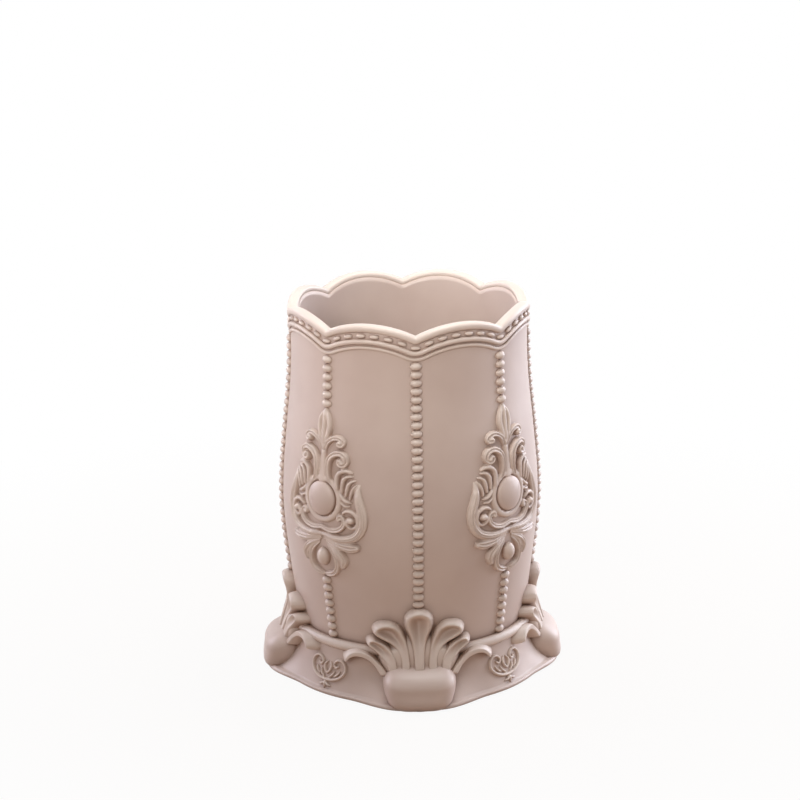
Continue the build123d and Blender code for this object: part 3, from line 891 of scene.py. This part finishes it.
def add_node(tree, kind, settings, links=()):
    """A node with its settings, and its inputs linked from (input, node, output) triples."""
    node = tree.nodes.new(kind)
    for name, value in settings.items():
        if name == "stops":
            for element, (place, colour) in zip(node.color_ramp.elements, value):
                element.position, element.color = place, linear(colour)
        elif isinstance(name, str) and hasattr(node, name):
            setattr(node, name, value)
        else:
            node.inputs[name].default_value = value
    for name, source, output in links:
        tree.links.new(source.outputs[output], node.inputs[name])
    return node


def cast_resin(name, low, high, hollow_width):
    """Polyresin cast in a mould and sprayed with a satin lacquer.

    The eye sees a pale blush beige that clouds from a low to a high tone, and a faint orange-peel skin
    from the spray.
    A warm brown painted shade darkens the colour in hollows up to a width in millimetres, standing in
    for the shade that falls there.
    """
    material = bpy.data.materials.new(name)
    material.use_nodes = True
    tree = material.node_tree
    shader = tree.nodes["Principled BSDF"]
    cloud_size, peel_size, peel_depth = 24 * MM, 0.9 * MM, 0.03 * MM
    place = add_node(tree, "ShaderNodeTexCoord", {})
    clouds = add_node(
        tree,
        "ShaderNodeTexNoise",
        {"Scale": 1 / cloud_size, "Detail": 3.0, "Roughness": 0.55},
        [("Vector", place, "Object")],
    )
    tone = add_node(
        tree, "ShaderNodeValToRGB", {"stops": [(0.3, low), (0.7, high)]}, [("Fac", clouds, "Fac")]
    )
    reach = hollow_width * MM
    # Painted shade: where the surface is hemmed in within this reach, the base colour is multiplied
    # towards warm brown, as shade in crevices and hollows
    hollow = add_node(tree, "ShaderNodeAmbientOcclusion", {"Distance": reach, "samples": 8})
    settled = add_node(
        tree,
        "ShaderNodeValToRGB",
        {"stops": [(0.25, "#A07A5C"), (0.95, "#FFFFFF")]},
        [("Fac", hollow, "AO")],
    )
    # Inputs 6 and 7 of a mix node are its two colours, and 0 is their factor
    colour = add_node(
        tree,
        "ShaderNodeMix",
        {"data_type": "RGBA", "blend_type": "MULTIPLY", 0: 0.7},
        [(6, tone, "Color"), (7, settled, "Color")],
    )
    sheen = add_node(
        tree, "ShaderNodeMapRange", {"To Min": 0.36, "To Max": 0.48}, [("Value", clouds, "Fac")]
    )
    peel = add_node(
        tree,
        "ShaderNodeTexNoise",
        {"Scale": 1 / peel_size, "Detail": 2.0},
        [("Vector", place, "Object")],
    )
    skin = add_node(
        tree,
        "ShaderNodeBump",
        {"Strength": 0.25, "Distance": peel_depth},
        [("Height", peel, "Fac")],
    )
    tree.links.new(colour.outputs[2], shader.inputs["Base Color"])
    tree.links.new(sheen.outputs["Result"], shader.inputs["Roughness"])
    tree.links.new(skin.outputs["Normal"], shader.inputs["Normal"])
    shader.inputs["IOR"].default_value = 1.5
    return material


def soft_rubber():
    """Milky moulded rubber of the pads: matt, with a fine dust-grey mottle."""
    material = bpy.data.materials.new("moulded_soft_rubber")
    material.use_nodes = True
    tree = material.node_tree
    shader = tree.nodes["Principled BSDF"]
    mottle_size = 1.5 * MM
    place = add_node(tree, "ShaderNodeTexCoord", {})
    mottle = add_node(
        tree, "ShaderNodeTexNoise", {"Scale": 1 / mottle_size}, [("Vector", place, "Object")]
    )
    tone = add_node(
        tree,
        "ShaderNodeValToRGB",
        {"stops": [(0.3, "#CFCAC3"), (0.7, "#DAD6D0")]},
        [("Fac", mottle, "Fac")],
    )
    tree.links.new(tone.outputs["Color"], shader.inputs["Base Color"])
    shader.inputs["Roughness"].default_value = 0.75
    return material


# Build


def build_pot():
    """Every piece of the pot, each in the place of its CAD nodes."""
    # The ground is as sprayed, and the raised ornament gets a paler copy of the same resin: a painted
    # highlight for the light that raised parts catch
    plain = cast_resin("satin_cast_polyresin", "#C8B5AB", "#D2C1B7", 3.0)
    painted_highlight_resin = cast_resin("satin_cast_polyresin_painted_highlight", "#D5C5BA", "#DED0C5", 4.5)
    single = {
        "vase": (pot_body(), plain),
        "rim_roll": (rim_roll(), painted_highlight_resin),
        "rim_pearls": (rim_pearls(), painted_highlight_resin),
        "rim_upper_cord": (rim_cord(*UPPER_CORD), painted_highlight_resin),
        "rim_lower_cord": (rim_cord(*LOWER_CORD), painted_highlight_resin),
        "plinth": (plinth_body(), plain),
        "collar_cord": (collar_cord(), painted_highlight_resin),
    }
    at_sides = {
        "strand": (strand(*LONG_STRAND), painted_highlight_resin),
        "shell": (shell(), painted_highlight_resin),
        "foot": (foot(), plain),
    }
    at_corners = {
        "upper_strand": (strand(*UPPER_STRAND), painted_highlight_resin),
        "lower_strand": (strand(*LOWER_STRAND), painted_highlight_resin),
        "cartouche": (cartouche(), painted_highlight_resin),
        "cabochon": (cabochon(), plain),
        "drop_pearl": (drop_pearl(), painted_highlight_resin),
        "sprig": (sprig(), painted_highlight_resin),
    }
    for node, (body, resin) in single.items():
        add_piece(f"{node}_cast", body, resin, [node])
    for group, places in ((at_sides, SIDES), (at_corners, CORNERS)):
        for name, ((points, faces), resin) in group.items():
            for place, azimuth in places.items():
                node = f"{name}_{place}"
                add_piece(f"{node}_cast", (turned(points, azimuth), faces), resin, [node])
    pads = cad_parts["foot_pads"].data.materials
    pads.clear()
    pads.append(soft_rubber())


# Stage


def white_to_the_eye(tree, shaded, white):
    """Gives the white shader to the camera, to mirrors and through glass, the other to other rays."""
    path = add_node(tree, "ShaderNodeLightPath", {})
    seen = add_node(
        tree,
        "ShaderNodeMath",
        {"operation": "MAXIMUM"},
        [(0, path, "Is Camera Ray"), (1, path, "Is Glossy Ray")],
    )
    seen = add_node(
        tree,
        "ShaderNodeMath",
        {"operation": "MAXIMUM"},
        [(0, seen, 0), (1, path, "Is Transmission Ray")],
    )
    return add_node(tree, "ShaderNodeMixShader", {}, [(0, seen, 0), (1, shaded, 0), (2, white, 0)])


def add_world():
    """A white room: white to the eye, and a soft even light on the pot."""
    world = bpy.data.worlds.new("studio")
    bpy.context.scene.world = world
    world.use_nodes = True
    tree = world.node_tree
    tree.nodes.clear()
    light = add_node(tree, "ShaderNodeBackground", {"Color": linear("#F6F2F2"), "Strength": 0.2})
    white = add_node(tree, "ShaderNodeBackground", {"Color": linear("#FFFFFF"), "Strength": 1.0})
    mixed = white_to_the_eye(tree, light, white)
    add_node(tree, "ShaderNodeOutputWorld", {}, [("Surface", mixed, 0)])


def add_floor():
    """A plain pale table top that keeps the pot's shadow."""
    half = 3000 * MM
    mesh = bpy.data.meshes.new("table")
    corners = [(-half, -half, 0), (half, -half, 0), (half, half, 0), (-half, half, 0)]
    mesh.from_pydata(corners, [], [(0, 1, 2, 3)])
    table = bpy.data.objects.new("table", mesh)
    bpy.context.scene.collection.objects.link(table)
    material = bpy.data.materials.new("pale_table")
    material.use_nodes = True
    tree = material.node_tree
    tree.nodes.clear()
    top = add_node(tree, "ShaderNodeBsdfDiffuse", {"Color": linear("#C0A088")})
    white = add_node(tree, "ShaderNodeEmission", {"Color": linear("#FFFFFF"), "Strength": 1.0})
    place = add_node(tree, "ShaderNodeTexCoord", {})
    away = add_node(tree, "ShaderNodeVectorMath", {"operation": "LENGTH"}, [(0, place, "Object")])
    # The shadow shows most by the pot and fades out over the table
    fade = add_node(
        tree,
        "ShaderNodeMapRange",
        {"From Min": 60 * MM, "From Max": 240 * MM, "To Min": 0.94, "To Max": 1.0},
        [("Value", away, "Value")],
    )
    lifted = add_node(tree, "ShaderNodeMixShader", {}, [(0, fade, 0), (1, top, 0), (2, white, 0)])
    shown = white_to_the_eye(tree, top, lifted)
    add_node(tree, "ShaderNodeOutputMaterial", {}, [("Surface", shown, 0)])
    mesh.materials.append(material)


# Soft lights: name, place, aim, size, watts, colour and the spread of the beam in degrees
SOFTBOXES = [
    ("window_right", (410, 190, 180), (0, 0, 55), 380, 2.7, "#EAEFFF", 180),
    ("window_left", (-420, 170, 200), (0, 0, 60), 300, 1.2, "#EFEDFF", 180),
    ("front", (-140, -295, 310), (0, 0, 160), 200, 0.1, "#FFFAF6", 38),
    ("top", (20, -20, 520), (0, 0, 100), 260, 1.6, "#FFFFFF", 180),
]


def add_softbox(name, place, aim, size, watts, colour, spread):
    """A square soft light at a place, turned to an aim."""
    lamp = bpy.data.lights.new(name, "AREA")
    lamp.spread = radians(spread)
    lamp.size = size * MM
    lamp.energy = watts
    lamp.color = linear(colour)[:3]
    box = bpy.data.objects.new(name, lamp)
    bpy.context.scene.collection.objects.link(box)
    box.location = Vector(place) * MM
    box.rotation_euler = (Vector(aim) - Vector(place)).to_track_quat("-Z", "Y").to_euler()


def add_camera():
    """The photograph's view: a long lens a little above the pot."""
    image_pixels, sensor = 800, 36
    pixel = 0.2904  # millimetres on the pot's axis for one pixel of the photograph
    lens_pixels = 2600
    elevation, azimuth, roll = radians(18.3), radians(-3.1), radians(0.6)
    target = Vector((0, 0, 55.2))
    right_of_centre, below_centre = 10.3, 78.5  # where the photograph shows the target, in pixels
    back = Vector((sin(azimuth) * cos(elevation), -cos(azimuth) * cos(elevation), sin(elevation)))
    level = Vector((cos(azimuth), sin(azimuth), 0))
    upright = back.cross(level)
    right = level * cos(roll) - upright * sin(roll)
    up = level * sin(roll) + upright * cos(roll)
    place = target + back * lens_pixels * pixel
    aim = target + (up * below_centre - right * right_of_centre) * pixel
    back = (place - aim).normalized()
    right = up.cross(back).normalized()
    up = back.cross(right)
    camera = bpy.data.cameras.new("camera")
    camera.sensor_width = sensor
    camera.lens = lens_pixels / image_pixels * sensor
    camera.clip_start = 10 * MM
    stand = bpy.data.objects.new("camera", camera)
    bpy.context.scene.collection.objects.link(stand)
    turn = Matrix((right, up, back)).transposed().to_4x4()
    stand.matrix_world = Matrix.Translation(place * MM) @ turn
    bpy.context.scene.camera = stand


build_pot()
add_world()
add_floor()
for softbox in SOFTBOXES:
    add_softbox(*softbox)
add_camera()
bpy.context.scene.view_settings.view_transform = "Standard"
